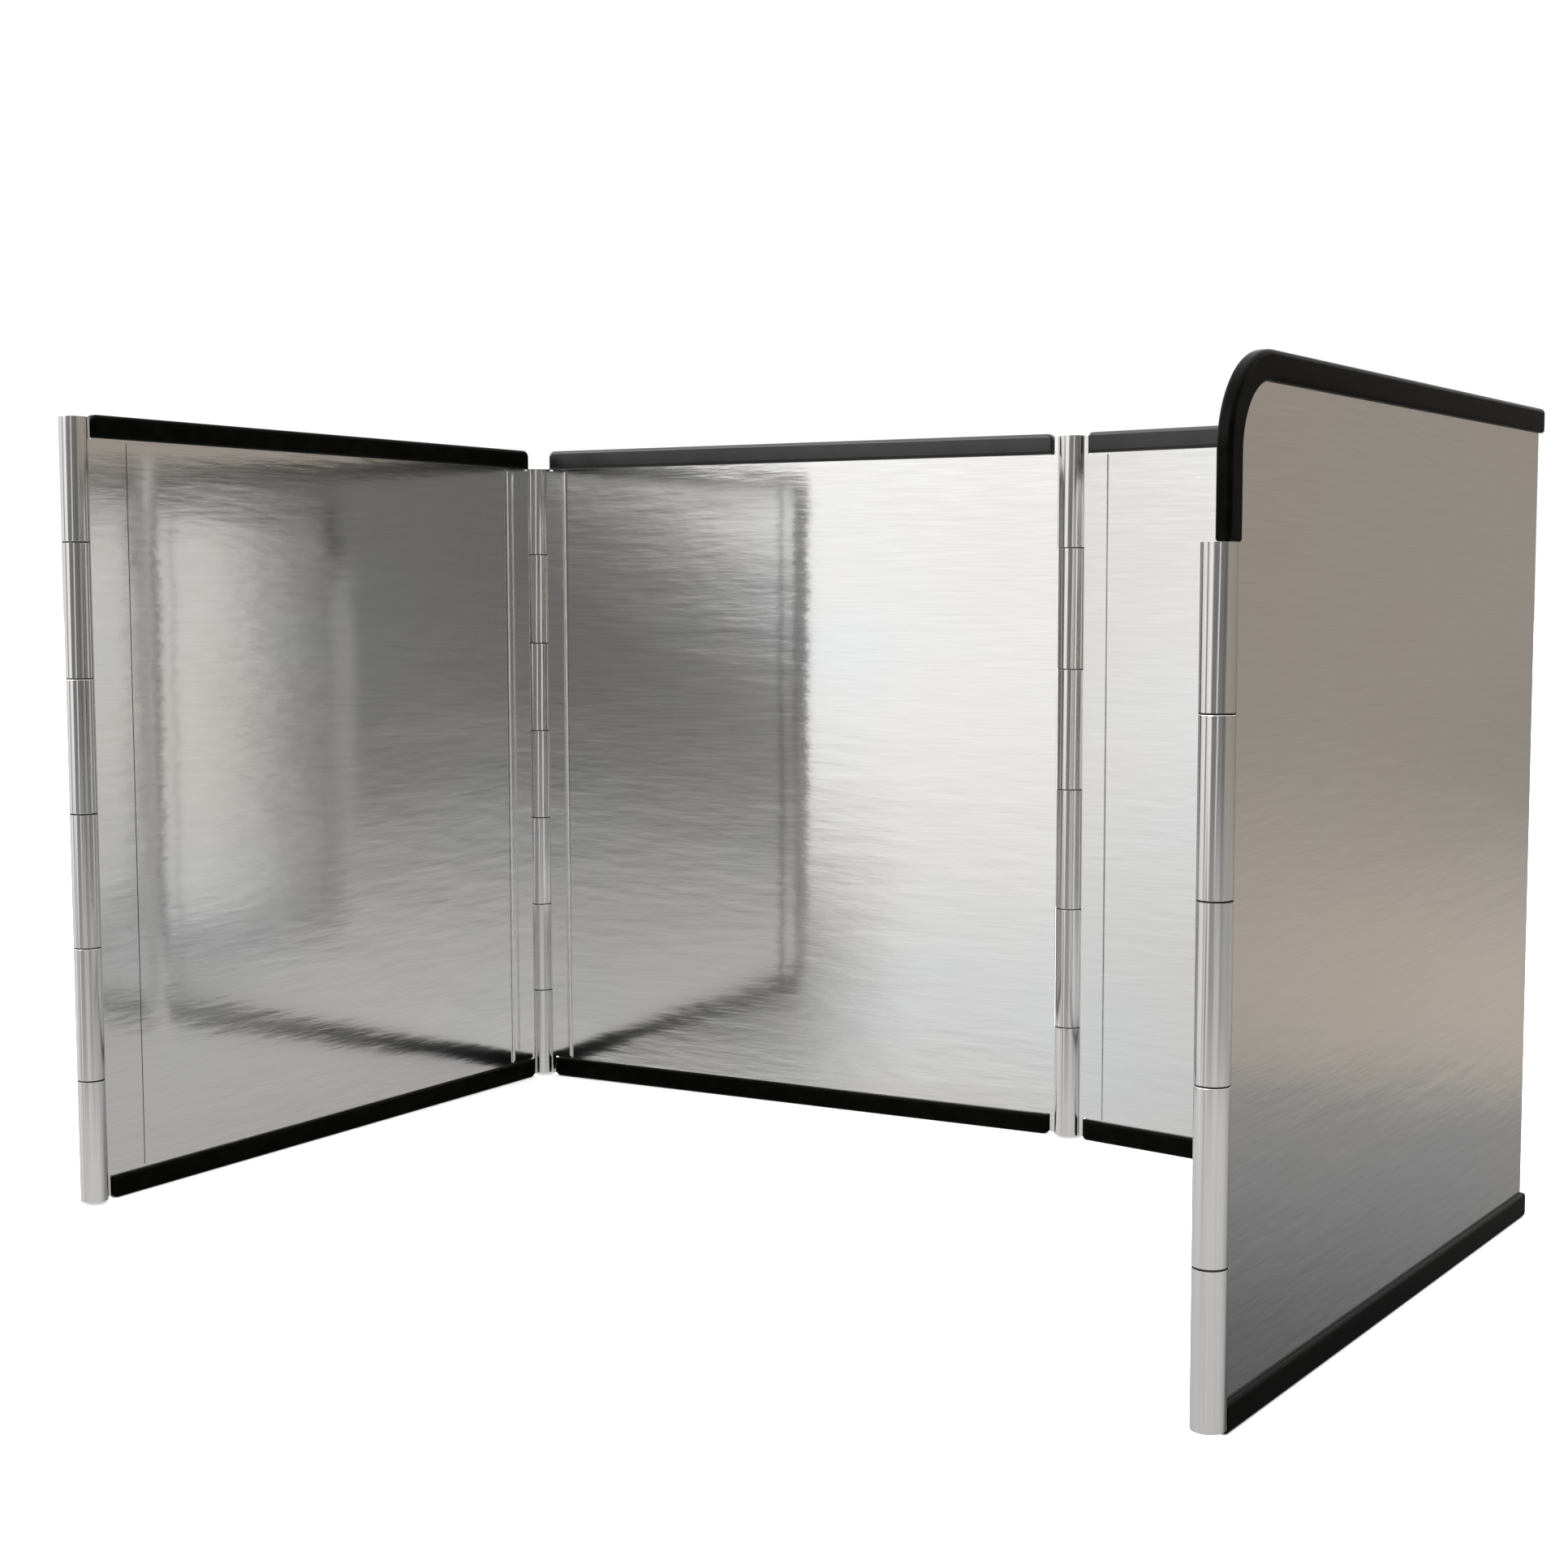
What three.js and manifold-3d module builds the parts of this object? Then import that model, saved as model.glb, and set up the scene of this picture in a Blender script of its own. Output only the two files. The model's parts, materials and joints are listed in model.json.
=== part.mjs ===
// A folding hearth screen: four upright steel sheets edged with rubber channel and joined by barrel hinges.
// Millimetres, +Z up, standing on z = 0 with its bounding box centred on the origin. Each panel is drawn in
// its own frame: x from its left hinge axis to its right one, z up, and y = 0 on the sheet's middle plane,
// with the inner side of the screen at -y.
import * as THREE from "three";
import { mergeVertices } from "three/addons/utils/BufferGeometryUtils.js";
import Module from "manifold-3d";

const wasm = await Module();
wasm.setup();

// Driving sizes.
const HEIGHT = 500; // floor to the top of the trim
const WIDE = 460; // axis to axis, on the back panel and both wings
const SHORT = 326; // axis to axis, on the short back panel
const ANGLES = { leftCorner: 92.4, middle: 169, rightCorner: 95.6 }; // degrees, on the inner side

const SHEET = 1.2; // thickness of a panel's sheet
const LEAF = 1; // thickness of a hinge leaf
const SEAT = 0.2; // left between faces that are welded or glued together
const FIT = 0.2; // round a sheet in its trim
const TRIM = { height: 14.5, thickness: 8, web: 2, edge: 2.4, lip: 0.2 };
const BARREL = { bore: 6.3, pin: 6, gap: 0.9, clearance: 0.8 };
const PLUG = { radius: 6, thickness: 3, edge: 0.5, gap: 0.2 }; // closes a barrel's end, flush with it
const ROUND = 36; // facets round a barrel
const LARGE_RADIUS = 10; // an outline's corner over this gets more steps

const REACH = 14; // from a folding hinge's axis to a trim's end, so panels can close to 30 degrees
const END_REACH = 12; // the same at a free end
const OVERHANG = 2.5; // how far the right wing's trim runs past the axis of the right corner hinge
// Where the right wing's trim turns down its free end, and how far under it the barrel there stops.
const NOSE = { side: 2.5, bottom: 411.5, radius: 48, gap: 0.3 };
const LEAF_WIDTH = { wing: 40, back: 29 }; // from the axis
const LEAF_ENDS = 1; // between a leaf and the trims above and below it
const LEAF_TOP = HEIGHT - TRIM.height - LEAF_ENDS;
const LEAF_BITE = 0.4; // how deep a leaf runs into its knuckles
const TAB_GAP = 0.5; // between the end of a trim and the strip of leaf beside the barrel
const LOW = 2; // underside of the lowest knuckle

// The barrels. Whole knuckles are a pitch long, and the end ones take what is left.
const FOLDING = { radius: 10 };
const FREE_END = { radius: 8.5 };
const HINGES = {
  leftEnd: { ...FREE_END, bottom: LOW, top: HEIGHT - LOW, count: 6, pitch: 85 },
  leftCorner: { ...FOLDING, bottom: LOW, top: HEIGHT - 14, count: 7, pitch: 69.8 },
  middle: { ...FOLDING, bottom: LOW, top: HEIGHT - LOW, count: 6, pitch: 85 },
  rightCorner: { ...FOLDING, bottom: 15.5, top: HEIGHT - 15.5, count: 6, pitch: 85 },
  rightEnd: { ...FREE_END, bottom: 7, top: NOSE.bottom - NOSE.gap, count: 5, pitch: 84 },
};

const MATERIALS = {
  brushed_steel: new THREE.MeshStandardMaterial({ color: 0xbdbab4, roughness: 0.34, metalness: 1 }),
  polished_steel: new THREE.MeshStandardMaterial({ color: 0xd4d3d0, roughness: 0.14, metalness: 1 }),
  black_rubber: new THREE.MeshStandardMaterial({ color: 0x15140f, roughness: 0.5, metalness: 0 }),
};

const radians = THREE.MathUtils.degToRad;

// ---- Solids ----

function solid(geometry) {
  const bare = geometry.clone();
  bare.deleteAttribute("normal");
  bare.deleteAttribute("uv");
  const merged = mergeVertices(bare, 1e-3);
  return new wasm.Manifold(
    new wasm.Mesh({
      numProp: 3,
      vertProperties: merged.attributes.position.array,
      triVerts: new Uint32Array(merged.index.array),
    }),
  );
}

function named(name, body, material) {
  const mesh = body.getMesh();
  const geometry = new THREE.BufferGeometry();
  geometry.setAttribute("position", new THREE.BufferAttribute(mesh.vertProperties, 3));
  geometry.setIndex(new THREE.BufferAttribute(mesh.triVerts, 1));
  const flat = geometry.toNonIndexed();
  flat.computeVertexNormals();
  const part = new THREE.Mesh(flat, MATERIALS[material]);
  part.name = name;
  return part;
}

// A closed outline in a panel's x and z, with each right-angled corner [x, z, radius] rounded.
function outline(corners) {
  const count = corners.length;
  const at = (i) => new THREE.Vector2(corners[(i + count) % count][0], corners[(i + count) % count][1]);
  const points = corners.flatMap(([, , radius], i) => {
    if (!radius) return [at(i)];
    const before = at(i - 1).sub(at(i)).setLength(radius);
    const after = at(i + 1).sub(at(i)).setLength(radius);
    const centre = at(i).add(before).add(after);
    const steps = radius > LARGE_RADIUS ? 20 : 6;
    return Array.from({ length: steps + 1 }, (_, step) => {
      const angle = ((Math.PI / 2) * step) / steps;
      return centre
        .clone()
        .addScaledVector(after, -Math.cos(angle))
        .addScaledVector(before, -Math.sin(angle));
    });
  });
  return new THREE.Shape(points);
}

// An upright slab of that outline, its middle plane at y, with its edges rounded by edge.
function slab(corners, thickness, y = 0, edge = 0) {
  const depth = thickness - 2 * edge;
  const bevel = { bevelThickness: edge, bevelSize: edge, bevelOffset: -edge, bevelSegments: 4 };
  const geometry = new THREE.ExtrudeGeometry(outline(corners), {
    depth,
    bevelEnabled: edge > 0,
    ...bevel,
  });
  return solid(geometry.translate(0, 0, -depth / 2).rotateX(Math.PI / 2).translate(0, y, 0));
}

function rectangle(left, bottom, right, top, radius = 0) {
  return [
    [left, bottom, radius],
    [right, bottom, radius],
    [right, top, radius],
    [left, top, radius],
  ];
}

function rod(radius, bottom, top, x = 0, y = 0) {
  const geometry = new THREE.CylinderGeometry(radius, radius, top - bottom, ROUND);
  return solid(geometry.rotateX(Math.PI / 2).translate(x, y, (bottom + top) / 2));
}

function tube(radius, bottom, top, x) {
  return rod(radius, bottom, top, x).subtract(rod(BARREL.bore, bottom - 1, top + 1, x));
}

// ---- Barrels ----

// The lowest and highest point of each knuckle of a barrel, from the bottom up.
function knuckles({ bottom, top, count, pitch }) {
  const end = (top - bottom - (count - 2) * pitch) / 2;
  const low = (i) => (i === 0 ? bottom : bottom + end + (i - 1) * pitch + BARREL.gap / 2);
  const high = (i) => (i === count - 1 ? top : bottom + end + i * pitch - BARREL.gap / 2);
  return Array.from({ length: count }, (_, i) => [low(i), high(i)]);
}

// The pin through a barrel at (x, y), and the plug that holds it in at each end.
function pinAndPlugs(name, hinge, x, y = 0) {
  const { radius, thickness, edge, gap } = PLUG;
  const plug = (turn, z) => {
    const rim = new THREE.Path().moveTo(0, 0).lineTo(radius, 0).lineTo(radius, thickness - edge);
    rim.lineTo(radius - edge, thickness).lineTo(0, thickness);
    return solid(new THREE.LatheGeometry(rim.getPoints(1), ROUND).rotateX(turn).translate(x, y, z));
  };
  const pin = rod(BARREL.pin, hinge.bottom + thickness + gap, hinge.top - thickness - gap, x, y);
  return [
    named(`${name}_pin`, pin, "polished_steel"),
    named(`${name}_bottom_plug`, plug(-Math.PI / 2, hinge.bottom + thickness), "polished_steel"),
    named(`${name}_top_plug`, plug(Math.PI / 2, hinge.top - thickness), "polished_steel"),
  ];
}

// A hinge leaf on the inner side of its sheet, in one piece with every second knuckle from `first` up.
// The barrel stands at (x, y) and the leaf runs from it to the `side` of it, with a strip beside the
// barrel that goes past the trims' ends, `reach` from the axis. A leaf that lies off the axis, as on the
// right corner, meets its knuckles at a tangent.
function leaf(name, hinge, first, { x, y = 0, side, width, reach = REACH, top = LEAF_TOP }) {
  const middle = -(SHEET + LEAF) / 2 - SEAT;
  const root = Math.sqrt((hinge.radius - LEAF_BITE) ** 2 - (Math.abs(middle - y) - LEAF / 2) ** 2);
  const plate = (far, low, high) => {
    const ends = [x + side * root, x + side * far].sort((a, b) => a - b);
    return slab(rectangle(ends[0], low, ends[1], high), LEAF, middle);
  };
  const strip = plate(reach - TAB_GAP, hinge.bottom, hinge.top);
  let body = plate(width, TRIM.height + LEAF_ENDS, top).add(strip);
  knuckles(hinge).forEach(([low, high], i) => {
    if (i % 2 === first % 2) return;
    const { gap, clearance } = BARREL;
    body = body.subtract(rod(hinge.radius + clearance, low - gap, high + gap, x, y));
  });
  knuckles(hinge).forEach(([low, high], i) => {
    if (i % 2 !== first % 2) return;
    body = body.add(rod(hinge.radius, low, high, x, y));
  });
  return named(name, body.subtract(rod(BARREL.bore, 0, HEIGHT, x, y)), "brushed_steel");
}

// The loose sleeves that fill the odd places of a free end's barrel.
function sleeves(name, hinge, first, x) {
  return knuckles(hinge)
    .filter((_, i) => i % 2 === first % 2)
    .map(([low, high], i) =>
      named(`${name}_sleeve_${i + 1}`, tube(hinge.radius, low, high, x), "polished_steel"),
    );
}

// ---- Panels ----

// The outline that the trims and sheet of a plain panel share, drawn inset from the trims' outer edge.
function plainPanel({ left, right, radius }, inset) {
  return rectangle(left + inset, inset, right - inset, HEIGHT - inset, radius - inset);
}

// The same for the right wing, whose free end steps out over its barrel and curves round to the top.
function rightWingPanel({ left, right, radius }, inset) {
  const out = WIDE - NOSE.side - inset;
  const small = radius - inset;
  return [
    [left + inset, inset, small],
    [right - inset, inset, small],
    [right - inset, NOSE.bottom + inset, 0],
    [out, NOSE.bottom + inset, 0],
    [out, HEIGHT - inset, NOSE.radius - inset],
    [left + inset, HEIGHT - inset, small],
  ];
}

function plainTopTrim({ left, right, radius }) {
  const low = HEIGHT - TRIM.height;
  return [
    [left, low, 0],
    [right, low, 0],
    [right, HEIGHT, radius],
    [left, HEIGHT, radius],
  ];
}

function rightWingTopTrim({ left, radius }) {
  const out = WIDE - NOSE.side;
  const low = HEIGHT - TRIM.height;
  return [
    [left, low, 0],
    [out - TRIM.height, low, NOSE.radius - TRIM.height],
    [out - TRIM.height, NOSE.bottom, 0],
    [out, NOSE.bottom, 0],
    [out, HEIGHT, NOSE.radius],
    [left, HEIGHT, radius],
  ];
}

function bottomTrim({ left, right, radius }) {
  return [
    [left, 0, radius],
    [right, 0, radius],
    [right, TRIM.height, 0],
    [left, TRIM.height, 0],
  ];
}

// A sheet and the two trims that grip its top and bottom edges.
function panel(name, span, panelOutline = plainPanel, topOutline = plainTopTrim) {
  const slot = slab(panelOutline(span, TRIM.web), SHEET + 2 * TRIM.lip);
  const trim = (corners) => slab(corners, TRIM.thickness, 0, TRIM.edge).subtract(slot);
  const sheet = slab(panelOutline(span, TRIM.web + FIT), SHEET);
  return [
    named(`${name}_sheet`, sheet, "brushed_steel"),
    named(`${name}_top_trim`, trim(topOutline(span)), "black_rubber"),
    named(`${name}_bottom_trim`, trim(bottomTrim(span)), "black_rubber"),
  ];
}

// ---- Assembly ----

function group(parts, x = 0, y = 0, turn = 0) {
  const made = new THREE.Group().add(...parts);
  made.position.set(x, y, 0);
  made.rotation.z = radians(turn);
  return made;
}

const { leftEnd, leftCorner, middle, rightCorner, rightEnd } = HINGES;
const cornerOffset = FOLDING.radius + SEAT + SHEET / 2; // right corner's axis to the right wing's sheet

const leftWing = group([
  ...panel("left_wing", { left: END_REACH, right: WIDE - REACH, radius: 5 }),
  leaf("left_corner_leaf_on_wing", leftCorner, 1, { x: WIDE, side: -1, width: LEAF_WIDTH.wing }),
  leaf("left_end_leaf", leftEnd, 0, { x: 0, side: 1, width: LEAF_WIDTH.wing, reach: END_REACH }),
  ...sleeves("left_end", leftEnd, 1, 0),
  ...pinAndPlugs("left_end", leftEnd, 0),
], -WIDE);

const backPanel = group([
  ...panel("back", { left: REACH, right: WIDE - REACH, radius: 5 }),
  leaf("left_corner_leaf_on_back", leftCorner, 0, { x: 0, side: 1, width: LEAF_WIDTH.back }),
  leaf("middle_leaf_on_back", middle, 0, { x: WIDE, side: -1, width: LEAF_WIDTH.back }),
  ...pinAndPlugs("left_corner", leftCorner, 0),
  ...pinAndPlugs("middle", middle, WIDE),
]);

const rightWing = group([
  ...panel(
    "right_wing",
    { left: -OVERHANG, right: WIDE - END_REACH, radius: 3.2 },
    rightWingPanel,
    rightWingTopTrim,
  ),
  leaf("right_corner_leaf_on_wing", rightCorner, 1, {
    x: 0,
    y: -cornerOffset,
    side: 1,
    width: LEAF_WIDTH.back,
  }),
  leaf("right_end_leaf", rightEnd, 0, {
    x: WIDE,
    side: -1,
    width: LEAF_WIDTH.back,
    reach: END_REACH,
    top: rightEnd.top,
  }),
  ...sleeves("right_end", rightEnd, 1, WIDE),
  ...pinAndPlugs("right_end", rightEnd, WIDE),
], 0, cornerOffset);

const shortBack = [
  ...panel("short_back", { left: REACH, right: SHORT - REACH, radius: 3.2 }),
  leaf("middle_leaf_on_short_back", middle, 1, { x: 0, side: 1, width: LEAF_WIDTH.back }),
  leaf("right_corner_leaf_on_short_back", rightCorner, 0, { x: SHORT, side: -1, width: LEAF_WIDTH.back }),
  ...pinAndPlugs("right_corner", rightCorner, SHORT),
];

const foldedRightWing = group([rightWing], SHORT, 0, ANGLES.rightCorner - 180);
const screen = group([
  group([leftWing], 0, 0, 180 - ANGLES.leftCorner),
  backPanel,
  group([...shortBack, foldedRightWing], WIDE, 0, ANGLES.middle - 180),
]);
screen.updateMatrixWorld(true);
const centre = new THREE.Box3().setFromObject(screen, true).getCenter(new THREE.Vector3());
screen.position.set(-centre.x, -centre.y, 0);

export default screen;
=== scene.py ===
# A folding hearth screen in a white studio: brushed steel sheets, polished hinge barrels, rubber trim.
# Metres, in the CAD's own frame. The four bodies are the panels, which turn about upright hinge axes.
import json
import math

import bmesh
import bpy
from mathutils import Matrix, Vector


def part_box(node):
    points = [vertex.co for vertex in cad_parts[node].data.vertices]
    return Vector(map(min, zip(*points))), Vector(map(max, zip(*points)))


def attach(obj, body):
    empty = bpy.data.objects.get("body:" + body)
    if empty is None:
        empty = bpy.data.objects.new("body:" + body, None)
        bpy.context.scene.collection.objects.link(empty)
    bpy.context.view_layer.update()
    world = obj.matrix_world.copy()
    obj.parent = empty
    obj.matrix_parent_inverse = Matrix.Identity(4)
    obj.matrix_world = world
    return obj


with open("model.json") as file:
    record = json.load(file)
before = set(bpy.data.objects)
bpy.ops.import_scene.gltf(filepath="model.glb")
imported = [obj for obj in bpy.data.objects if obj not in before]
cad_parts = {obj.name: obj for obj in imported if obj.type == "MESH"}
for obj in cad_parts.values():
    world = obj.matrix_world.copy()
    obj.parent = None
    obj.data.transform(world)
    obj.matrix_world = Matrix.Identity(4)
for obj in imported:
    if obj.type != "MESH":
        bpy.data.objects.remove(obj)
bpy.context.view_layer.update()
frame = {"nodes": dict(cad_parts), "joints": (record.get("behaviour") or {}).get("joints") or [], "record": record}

MM = 0.001
FOLDING_RADIUS = 10 * MM  # of the barrels that the panels turn on
FREE_RADIUS = 8.5 * MM  # of the barrels at the two free ends
# Each hinge's barrel, and the body that its pin is fixed to.
HINGES = {
    "left_end": {"radius": FREE_RADIUS, "body": "left_wing"},
    "left_corner": {"radius": FOLDING_RADIUS, "body": "back_panel"},
    "middle": {"radius": FOLDING_RADIUS, "body": "back_panel"},
    "right_corner": {"radius": FOLDING_RADIUS, "body": "short_back_panel"},
    "right_end": {"radius": FREE_RADIUS, "body": "right_wing"},
}
SLOT_OF = {part["node"]: part["material_slot"] for part in frame["record"]["subparts"]}


# ---- Shader nodes ----


class Nodes:
    """A short way to write node trees: each call adds one node and returns its first output."""

    def __init__(self, tree):
        self.tree = tree
        tree.nodes.clear()

    def add(self, kind, inputs=(), output=0, **settings):
        node = self.tree.nodes.new(kind)
        for name, value in settings.items():
            setattr(node, name, value)
        for key, value in dict(inputs).items():
            self.set(node.inputs[key], value)
        return node.outputs[output]

    def end(self, kind, surface):
        node = self.tree.nodes.new(kind)
        self.tree.links.new(surface, node.inputs["Surface"])

    def set(self, socket, value):
        if isinstance(value, bpy.types.NodeSocket):
            self.tree.links.new(value, socket)
        else:
            socket.default_value = value

    def math(self, operation, a, b=0.0):
        return self.add("ShaderNodeMath", {0: a, 1: b}, operation=operation)

    def place(self):
        """Where the point is on its piece, in metres."""
        return self.add("ShaderNodeTexCoord", output="Object")

    def scaled(self, vector, scale):
        return self.add("ShaderNodeVectorMath", {0: vector, 1: scale}, operation="MULTIPLY")

    def noise(self, vector, scale, detail=2.0, roughness=0.5):
        """Noise with `scale` features per metre along each axis."""
        inputs = {
            "Vector": self.scaled(vector, scale),
            "Scale": 1.0,
            "Detail": detail,
            "Roughness": roughness,
        }
        return self.add("ShaderNodeTexNoise", inputs)

    def fit(self, value, low, high, to_low, to_high, smooth=False):
        inputs = {"Value": value, "From Min": low, "From Max": high, "To Min": to_low, "To Max": to_high}
        kind = "SMOOTHSTEP" if smooth else "LINEAR"
        return self.add("ShaderNodeMapRange", inputs, interpolation_type=kind)

    def mix(self, factor, a, b, blend="MIX"):
        node = self.tree.nodes.new("ShaderNodeMix")
        node.data_type = "RGBA"
        node.blend_type = blend
        self.set(node.inputs["Factor"], factor)
        self.set(node.inputs["A"], a)
        self.set(node.inputs["B"], b)
        return node.outputs["Result"]

    def ramp(self, factor, stops):
        """`stops` are (place, grey level or colour), in order."""
        output = self.add("ShaderNodeValToRGB", {"Fac": factor})
        elements = output.node.color_ramp.elements
        while len(elements) < len(stops):
            elements.new(0.5)
        for element, (place, level) in zip(elements, stops):
            element.position = place
        for element, (place, level) in zip(elements, stops):
            element.color = (*level, 1) if isinstance(level, tuple) else (level, level, level, 1)
        return output

    def bump(self, height, strength, distance, normal=None):
        inputs = {"Height": height, "Strength": strength, "Distance": distance}
        if normal is not None:
            inputs["Normal"] = normal
        return self.add("ShaderNodeBump", inputs)


def material(name, make):
    """A node material whose Principled inputs are what make(nodes) returns."""
    made = bpy.data.materials.new(name)
    made.use_nodes = True
    nodes = Nodes(made.node_tree)
    inputs = make(nodes)
    surface = nodes.add("ShaderNodeBsdfPrincipled", inputs)
    nodes.end("ShaderNodeOutputMaterial", surface)
    return made


NOISE_SPAN = (0.3, 0.7)  # what nearly all of a noise texture's values lie between


def streaks(nodes, along, across, wander=0.0):
    """Level streaks `along` and `across` per metre, which drift up and down by up to `wander` metres."""
    place = nodes.place()
    if wander:
        drift = nodes.fit(nodes.noise(place, (7, 7, 10), detail=1.0), *NOISE_SPAN, -wander, wander)
        lift = nodes.add("ShaderNodeCombineXYZ", {"Z": drift})
        place = nodes.add("ShaderNodeVectorMath", {0: place, 1: lift})
    return nodes.noise(place, (along, along, across), detail=3.0, roughness=0.6)


# Sheet steel's colour along its brush marks, and the faint warm and cool patches that tint it.
STEEL_TONE = [(0.30, (0.795, 0.791, 0.78)), (0.50, (0.83, 0.827, 0.818)), (0.70, (0.865, 0.863, 0.857))]
STEEL_CAST = [(0.36, (1.0, 0.984, 0.965)), (0.52, (1.0, 0.997, 0.99)), (0.66, (0.978, 0.99, 1.0))]


def brushed_steel(nodes):
    """Stainless sheet brushed level, so reflections stay sharp sideways and spread up and down."""
    hairs = streaks(nodes, along=26, across=1300, wander=0.0012)
    bands = streaks(nodes, along=24, across=420, wander=0.0012)
    ripples = streaks(nodes, along=38, across=210)
    waves = streaks(nodes, along=5, across=28)
    grain = nodes.math("ADD", nodes.math("MULTIPLY", hairs, 0.65), nodes.math("MULTIPLY", bands, 0.35))
    cast = nodes.ramp(nodes.noise(nodes.place(), (4, 4, 6), detail=3.0), STEEL_CAST)
    tone = nodes.ramp(grain, STEEL_TONE)
    normal = nodes.bump(waves, 0.5, 0.0005)
    normal = nodes.bump(ripples, 1.0, 0.000045, normal)
    normal = nodes.bump(bands, 1.0, 0.000016, normal)
    return {
        "Base Color": nodes.mix(1.0, tone, cast, blend="MULTIPLY"),
        "Metallic": 1.0,
        "Roughness": nodes.fit(grain, *NOISE_SPAN, 0.07, 0.10),
        "Anisotropic": 0.85,
        "Tangent": nodes.add("ShaderNodeCombineXYZ", {"Z": 1.0}),
        "Normal": normal,
    }


def polished_steel(nodes):
    """Drawn tube: polished, with faint lines along its length."""
    place = nodes.place()
    lines = nodes.noise(place, (1900, 1900, 5), detail=2.0)
    smears = nodes.noise(place, (90, 90, 30), detail=3.0)
    return {
        "Base Color": nodes.ramp(lines, [(0.3, (0.72, 0.71, 0.69)), (0.7, (0.80, 0.79, 0.775))]),
        "Metallic": 1.0,
        "Roughness": nodes.fit(smears, *NOISE_SPAN, 0.09, 0.15),
        "Normal": nodes.bump(lines, 0.15, 0.00001),
    }


def satin_steel(nodes):
    """The solder bead down a leaf's edge, filed smooth but not polished."""
    place = nodes.place()
    file_marks = nodes.noise(place, (700, 700, 120), detail=3.0)
    return {
        "Base Color": nodes.ramp(file_marks, [(0.3, (0.74, 0.73, 0.71)), (0.7, (0.86, 0.855, 0.84))]),
        "Metallic": 1.0,
        "Roughness": nodes.fit(file_marks, *NOISE_SPAN, 0.34, 0.46),
        "Normal": nodes.bump(file_marks, 0.3, 0.00002),
    }


def gap_shade_steel(nodes):
    """Dark steel as painted shade: the pins seen through the barrel's gaps, the discs filling those gaps and the
    painted shadow lines at the free ends.
    """
    place = nodes.place()
    film = nodes.noise(place, (300, 300, 60), detail=3.0)
    return {
        "Base Color": nodes.ramp(film, [(0.3, (0.03, 0.028, 0.025)), (0.7, (0.07, 0.066, 0.06))]),
        "Metallic": 1.0,
        "Roughness": nodes.fit(film, *NOISE_SPAN, 0.35, 0.5),
    }


def black_rubber(nodes, shine=0.025):
    """Extruded edge channel, with a fine grain, faint lines along it and a little dust."""
    place = nodes.place()
    pores = nodes.noise(place, (2200, 2200, 2200), detail=2.0)
    lines = nodes.noise(place, (12, 12, 900), detail=2.0)
    dust = nodes.noise(place, (60, 60, 60), detail=4.0, roughness=0.65)
    relief = nodes.math("ADD", nodes.math("MULTIPLY", pores, 0.5), nodes.math("MULTIPLY", lines, 0.5))
    return {
        "Base Color": nodes.ramp(dust, [(0.45, (0.0008, 0.0008, 0.0006)), (0.75, (0.002, 0.002, 0.0016))]),
        "Roughness": nodes.fit(dust, *NOISE_SPAN, 0.26, 0.34),
        "Specular IOR Level": shine,
        "Normal": nodes.bump(relief, 0.3, 0.00005),
    }


def rubbed_rubber(nodes):
    """The same channel along the top of the back, rubbed shiny where hands lift the screen."""
    return black_rubber(nodes, shine=0.45)


MATERIALS = {
    "brushed_steel": material("brushed_steel_look", brushed_steel),
    "polished_steel": material("polished_steel_look", polished_steel),
    "black_rubber": material("black_rubber_look", black_rubber),
    "rubbed_rubber": material("rubbed_rubber_look", rubbed_rubber),
    "satin_steel": material("satin_steel_look", satin_steel),
    "gap_shade_steel": material("gap_shade_steel_look", gap_shade_steel),
}


# ---- The object ----


SHARP_EDGE = math.radians(30)  # the least turn between two faces that gets a rounded edge
TRIM_ROUNDING = (0.5 * MM, 3)  # width and segments
SHEET_ROUNDING = (0.25 * MM, 2)
METAL_ROUNDING = (0.3 * MM, 2)
BEAD_ROUNDING = (0.1 * MM, 2)


def finish_edges(node, width, segments):
    """Rounds a piece's edges and shades its round faces smooth. Its own vertices stay where they are."""
    if "custom_normal" in node.data.attributes:
        node.data.attributes.remove(node.data.attributes["custom_normal"])
    node.data.polygons.foreach_set("use_smooth", [True] * len(node.data.polygons))
    weld = node.modifiers.new("weld", "WELD")
    weld.merge_threshold = 0.01 * MM
    bevel = node.modifiers.new("edges", "BEVEL")
    bevel.width = width
    bevel.segments = segments
    bevel.limit_method = "ANGLE"
    bevel.angle_limit = SHARP_EDGE
    bevel.use_clamp_overlap = True
    faces = node.modifiers.new("flat_faces", "WEIGHTED_NORMAL")
    faces.weight = 100


SLACK = 0.1 * MM  # allowed when deciding what belongs to a barrel


def axis_of(hinge):
    """Where a hinge's upright axis stands, as x and y."""
    return (sum(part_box(f"{hinge}_pin"), Vector()) / 2).xy


def knuckle_faces(node, hinge):
    """The faces of a leaf or sleeve that belong to the hinge's barrel."""
    axis = axis_of(hinge)
    reach = HINGES[hinge]["radius"] + SLACK
    return [face for face in node.data.polygons if (face.center.xy - axis).length < reach]


def look_of(name):
    """The material of a CAD node, which is its slot's except for pins and the two shiny trims."""
    if name.endswith("_pin"):
        # dark pins: painted shade in the gaps between knuckles
        return "gap_shade_steel"
    if name in ("back_top_trim", "short_back_top_trim"):
        return "rubbed_rubber"
    return SLOT_OF[name]


def dress(name, node):
    """Gives a CAD node its materials, with polished knuckles on a leaf, and its rounded edges."""
    node.data.materials.clear()
    node.data.materials.append(MATERIALS[look_of(name)])
    if "_leaf" in name:
        node.data.materials.append(MATERIALS["polished_steel"])
        for face in knuckle_faces(node, name.split("_leaf")[0]):
            face.material_index = 1
    if name.endswith("_trim"):
        finish_edges(node, *TRIM_ROUNDING)
    elif name.endswith("_sheet"):
        finish_edges(node, *SHEET_ROUNDING)
    else:
        finish_edges(node, *METAL_ROUNDING)


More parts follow.
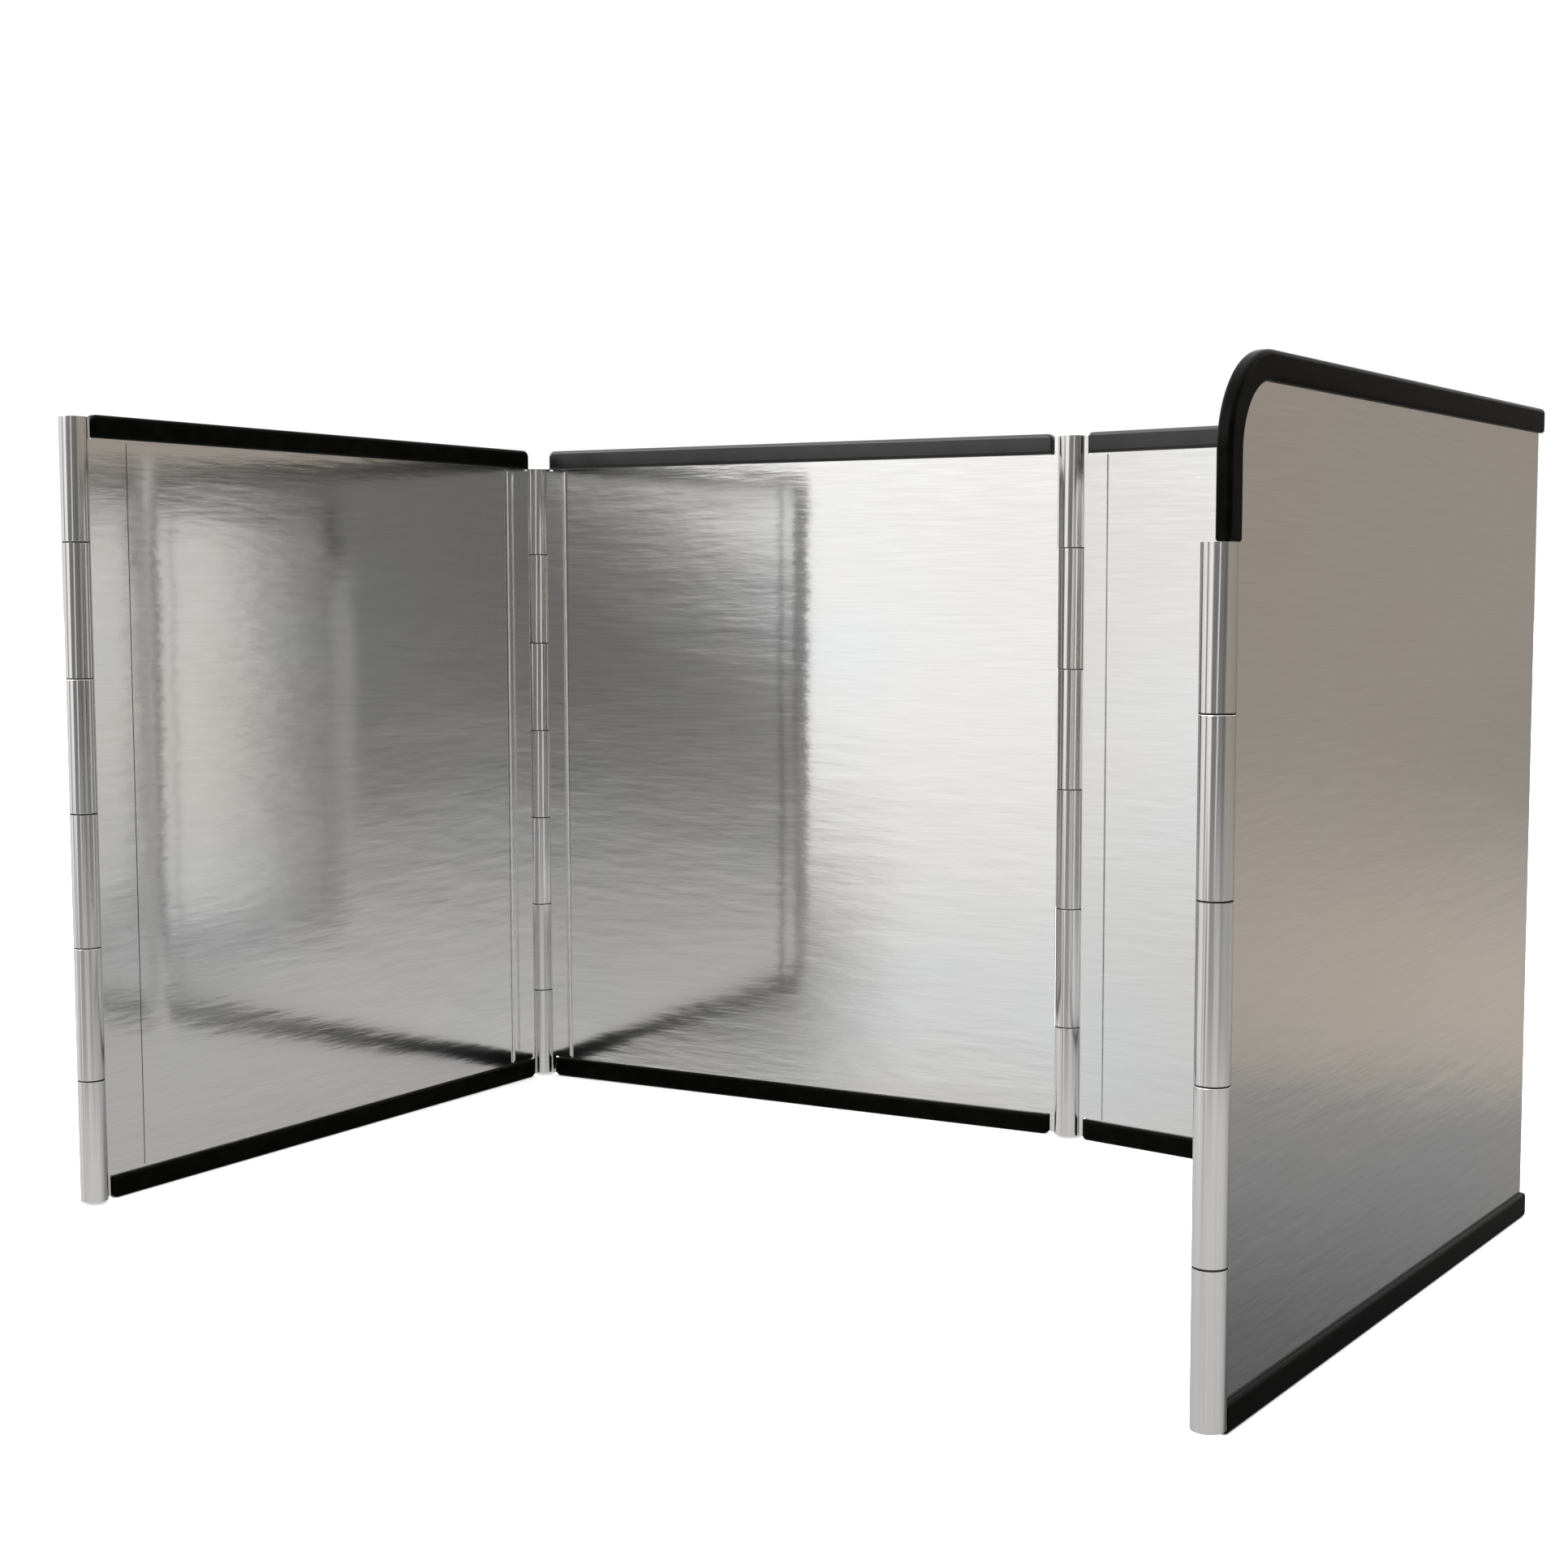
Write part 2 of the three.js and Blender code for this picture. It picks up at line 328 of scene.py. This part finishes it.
for name, node in frame["nodes"].items():
    dress(name, node)


# Dark discs that fill the gaps between knuckles as painted shade. Inset is from the barrel's outside, and clear
# from each knuckle.
GAP_SHADE_DISC = {"inset": 0.15 * MM, "clear": 0.1 * MM, "sides": 48}
LEVEL = 0.99  # the least rise of a normal that counts as straight up


def knuckle_ends(hinge):
    """The heights of the tops and of the bottoms of a barrel's knuckles, from low to high."""
    knuckled = (f"{hinge}_leaf", f"{hinge}_sleeve")
    parts = [node for name, node in frame["nodes"].items() if name.startswith(knuckled)]
    ends = [(face.normal.z, face.center.z) for node in parts for face in knuckle_faces(node, hinge)]
    tops = sorted({round(z, 5) for up, z in ends if up > LEVEL})
    bottoms = sorted({round(z, 5) for up, z in ends if up < -LEVEL})
    return tops, bottoms


def gap_shade_discs(hinge, body, radius):
    """A dark disc in each gap between a barrel's knuckles, turning with its pin: painted shade in the gap."""
    tops, bottoms = knuckle_ends(hinge)
    axis = axis_of(hinge)
    for number, (low, high) in enumerate(zip(tops[:-1], bottoms[1:]), 1):
        bpy.ops.mesh.primitive_cylinder_add(
            vertices=GAP_SHADE_DISC["sides"],
            radius=radius - GAP_SHADE_DISC["inset"],
            depth=high - low - 2 * GAP_SHADE_DISC["clear"],
            location=(axis.x, axis.y, (low + high) / 2),
        )
        gap_shade_disc = bpy.context.object
        gap_shade_disc.name = f"{hinge}_washer_{number}"
        # dark material: painted shade in the gap
        gap_shade_disc.data.materials.append(MATERIALS["gap_shade_steel"])
        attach(gap_shade_disc, body)


for hinge, barrel in HINGES.items():
    gap_shade_discs(hinge, **barrel)


def far_edge(leaf_name, hinge):
    """A leaf's far inner corner in plan, and the ways out along the leaf and into the screen."""
    axis = axis_of(hinge)
    mesh = frame["nodes"][leaf_name].data
    end = max(mesh.polygons, key=lambda face: (face.center.xy - axis).length)
    outward = end.normal.xy.normalized()
    inward = outward.orthogonal()
    if inward.dot(axis) > 0:
        inward = -inward
    points = [mesh.vertices[i].co.xy for i in end.vertices]
    corner = outward * max(point.dot(outward) for point in points)
    corner += inward * max(point.dot(inward) for point in points)
    return corner, outward, inward


def far_heights(leaf_name, corner):
    """The heights that a leaf's far edge runs between, clear of the rubber at its ends."""
    vertices = frame["nodes"][leaf_name].data.vertices
    heights = [v.co.z for v in vertices if (v.co.xy - corner).length < EDGE_NEAR]
    return min(heights) + EDGE_ENDS, max(heights) - EDGE_ENDS


def upright(name, plan, low, high, look):
    """A closed piece with that outline in plan, between two heights."""
    shape = bmesh.new()
    face = shape.faces.new([shape.verts.new((point.x, point.y, low)) for point in plan])
    risen = bmesh.ops.extrude_face_region(shape, geom=[face])
    top = [part for part in risen["geom"] if isinstance(part, bmesh.types.BMVert)]
    bmesh.ops.translate(shape, vec=(0, 0, high - low), verts=top)
    bmesh.ops.recalc_face_normals(shape, faces=shape.faces)
    mesh = bpy.data.meshes.new(name)
    shape.to_mesh(mesh)
    shape.free()
    made = bpy.data.objects.new(name, mesh)
    bpy.context.scene.collection.objects.link(made)
    made.data.materials.append(MATERIALS[look])
    return made


BEAD = {"radius": 0.9 * MM, "sink": 0.3 * MM, "steps": 12}
# A painted shadow line: a dark strip beside each free end leaf's edge.
SHADOW_LINE = {"width": 0.6 * MM, "depth": 0.9 * MM, "clear": 0.05 * MM}
EDGE_ENDS = 1.5 * MM  # from a bead's or shadow line's ends to its leaf's
EDGE_NEAR = 2 * MM  # how close in plan a vertex is to the far edge's corner to count as on it


def bead_plan(corner, outward, inward):
    """A half round on the face of the leaf, flush with its edge."""
    centre = corner - outward * BEAD["radius"] - inward * BEAD["sink"]
    angles = [math.pi * step / BEAD["steps"] for step in range(BEAD["steps"] + 1)]
    return [centre + (outward * math.cos(a) + inward * math.sin(a)) * BEAD["radius"] for a in angles]


def shadow_line_plan(corner, outward, inward):
    """A thin dark strip against the leaf's edge, just under its face: a painted shadow line along the edge."""
    near = corner + outward * SHADOW_LINE["clear"] - inward * SHADOW_LINE["clear"]
    far = near + outward * SHADOW_LINE["width"]
    down = inward * SHADOW_LINE["depth"]
    return [near, far, far - down, near - down]


# Each leaf's hinge and body, and the piece along its far edge: a solder bead, or a thin dark strip that is a
# painted shadow line.
LEAF_EDGES = {
    "left_corner_leaf_on_wing": ("left_corner", "left_wing", "bead"),
    "left_corner_leaf_on_back": ("left_corner", "back_panel", "bead"),
    "right_corner_leaf_on_short_back": ("right_corner", "short_back_panel", "bead"),
    "right_corner_leaf_on_wing": ("right_corner", "right_wing", "bead"),
    "left_end_leaf": ("left_end", "left_wing", "seam"),
    "right_end_leaf": ("right_end", "right_wing", "seam"),
}
# The shadow lines use the dark steel: painted shadow beside the free end leaves' edges.
EDGE_PLANS = {"bead": (bead_plan, "satin_steel"), "seam": (shadow_line_plan, "gap_shade_steel")}
for leaf_name, (hinge, body, kind) in LEAF_EDGES.items():
    plan, look = EDGE_PLANS[kind]
    corner, outward, inward = far_edge(leaf_name, hinge)
    low, high = far_heights(leaf_name, corner)
    piece = upright(leaf_name.replace("leaf", kind), plan(corner, outward, inward), low, high, look)
    if kind == "bead":
        finish_edges(piece, *BEAD_ROUNDING)
    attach(piece, body)


# ---- The studio ----


def warm(level):
    """That grey level with a warm tint."""
    return (level * 1.09, level * 0.98, level * 0.86)


# The studio's light as level rings, each a list of brightness by compass bearing in degrees. A bearing of
# 0 is towards +Y, 90 towards +X and 180 towards -Y. They were adjusted by the panels' reflections.
WALLS = [
    (-180, 0.2), (-167, 0.2), (-159, 0.98), (-148, 1.02), (-134, 0.84), (-131, 0.26), (-122.5, 0.26),
    (-121.3, 1.0), (-100, 0.86), (-80, 0.8), (-50, 0.5), (-10, 0.25), (12, 0.22), (22, warm(0.31)),
    (40, warm(0.29)), (52, warm(0.33)), (105, warm(0.34)), (113, 0.15), (130, 0.15), (133.5, 0.22),
    (138, 0.18), (149, 0.17), (153, 0.2), (154.6, 0.5), (157, 1.15), (158.5, 1.1), (163, 0.2), (180, 0.2),
]
FLOOR_FAR = [
    (-180, 0.35), (-166, 0.35), (-158, 0.8), (-153, 0.78), (-150, 0.22), (-144, 0.2), (-140, 0.7),
    (-133, 0.75), (-131, 0.5), (-122.6, 0.5), (-121, 0.88), (-80, 0.7), (-10, 0.3), (12, 0.3),
    (22, warm(0.46)), (30, warm(0.40)), (38, warm(0.38)), (46, 0.5), (60, 0.42), (105, 0.42), (115, 0.35),
    (128, 0.4), (133, 0.62), (139, 0.62), (150, 0.56), (156, 0.65), (165, 0.35), (180, 0.35),
]
FLOOR_NEAR = [
    (-180, 0.7), (-165, 0.7), (-155, 0.6), (-142, 0.6), (-130, 0.75), (-120, 0.75), (-60, 0.65),
    (-15, 0.35), (10, 0.28), (32, 0.27), (48, 0.45), (80, 0.65), (120, 0.7), (180, 0.7),
]
FEET = [
    (-180, 0.65), (-60, 0.6), (-15, 0.25), (10, 0.12), (32, 0.12), (48, 0.4), (80, 0.6), (180, 0.65),
]
SOFTBOX = [
    (-180, 0.8), (-163, 6.0), (-133, 6.0), (-130.5, 1.4), (-122.5, 1.4), (-121, 6.0), (-110, 6.0),
    (-60, 2.0), (60, 1.0), (120, 0.4), (152, 0.4), (160, 0.8), (180, 0.8),
]
CEILING = 2.6
BACKDROP = 1.05  # what the camera sees behind the object
# Elevations in degrees over which each ring gives way to the one above it.
TO_FLOOR_NEAR = (-20, -12.5)
TO_FLOOR_FAR = (-13, -10.8)
TO_WALLS = (-9.5, -3)
TO_SOFTBOX = (5, 16)
TO_CEILING = (35, 60)


def separate(nodes, vector):
    node = nodes.add("ShaderNodeSeparateXYZ", {"Vector": vector}).node
    return node.outputs["X"], node.outputs["Y"], node.outputs["Z"]


def span(nodes, angle, low, high):
    """0 below `low` degrees, 1 above `high`, and smooth between them."""
    return nodes.fit(angle, math.radians(low), math.radians(high), 0.0, 1.0, smooth=True)


def ring(nodes, turn, stops):
    """The brightness at a bearing in radians."""
    place = nodes.fit(turn, -math.pi, math.pi, 0.0, 1.0)
    return nodes.ramp(place, [((bearing + 180) / 360, level) for bearing, level in stops])


def studio_light():
    """Soft light from all round: bright to the left and in front, darker on the right."""
    world = bpy.data.worlds.new("studio")
    bpy.context.scene.world = world
    world.use_nodes = True
    nodes = Nodes(world.node_tree)
    x, y, z = separate(nodes, nodes.add("ShaderNodeTexCoord", output="Generated"))
    turn = nodes.math("ARCTAN2", x, y)
    rise = nodes.math("ARCSINE", z)
    right_side = nodes.math("GREATER_THAN", turn, 0)
    leaning = nodes.math("ADD", turn, nodes.math("MULTIPLY", rise, right_side))
    feet = ring(nodes, turn, FEET)
    level = nodes.mix(span(nodes, rise, *TO_FLOOR_NEAR), feet, ring(nodes, turn, FLOOR_NEAR))
    level = nodes.mix(span(nodes, rise, *TO_FLOOR_FAR), level, ring(nodes, turn, FLOOR_FAR))
    level = nodes.mix(span(nodes, rise, *TO_WALLS), level, ring(nodes, leaning, WALLS))
    level = nodes.mix(span(nodes, rise, *TO_SOFTBOX), level, ring(nodes, turn, SOFTBOX))
    level = nodes.mix(span(nodes, rise, *TO_CEILING), level, (CEILING, CEILING, CEILING, 1))
    seen = nodes.add("ShaderNodeLightPath", output="Is Camera Ray")
    lit = nodes.add("ShaderNodeBackground", {"Color": level, "Strength": 1.0})
    plain = nodes.add("ShaderNodeBackground", {"Color": (1, 1, 1, 1), "Strength": BACKDROP})
    both = nodes.add("ShaderNodeMixShader", {0: seen, 1: lit, 2: plain})
    nodes.end("ShaderNodeOutputWorld", both)


def lit_white(nodes):
    """Matt white that glows a little, so that it stays white all over."""
    white = (0.95, 0.95, 0.95, 1)
    return {
        "Base Color": white,
        "Roughness": 0.9,
        "Emission Color": white,
        "Emission Strength": 0.35,
    }


FLOOR_SIZE = 60.0


def studio_floor():
    """A plain white floor to stand on. The steel reflects the studio's rings instead of it."""
    bpy.ops.mesh.primitive_plane_add(size=FLOOR_SIZE, location=(0, 0, 0))
    floor = bpy.context.object
    floor.name = "studio_floor"
    floor.data.materials.append(material("lit_white_table", lit_white))
    floor.visible_glossy = False


SENSOR_WIDTH = 36.0
LENS = 52.46
SHIFT_X = -0.046
EYE = (1.0838, -1.4965, 0.389)  # from the left corner hinge's foot
LOOK_DOWN = math.radians(4.797)
LOOK_LEFT = math.radians(28.016)


def camera():
    """Just under the screen's top, to the right of the open side, looking across at the left corner."""
    data = bpy.data.cameras.new("camera")
    data.sensor_width = SENSOR_WIDTH
    data.lens = LENS
    data.shift_x = SHIFT_X
    data.clip_end = 100
    eye = bpy.data.objects.new("camera", data)
    bpy.context.scene.collection.objects.link(eye)
    joints = {joint["name"]: Vector(joint["pos_m"]) for joint in frame["joints"]}
    eye.location = joints["left_corner_hinge"] + Vector(EYE)
    eye.rotation_euler = (math.pi / 2 - LOOK_DOWN, 0, LOOK_LEFT)
    bpy.context.scene.camera = eye


studio_light()
studio_floor()
camera()
bpy.context.scene.view_settings.view_transform = "Standard"
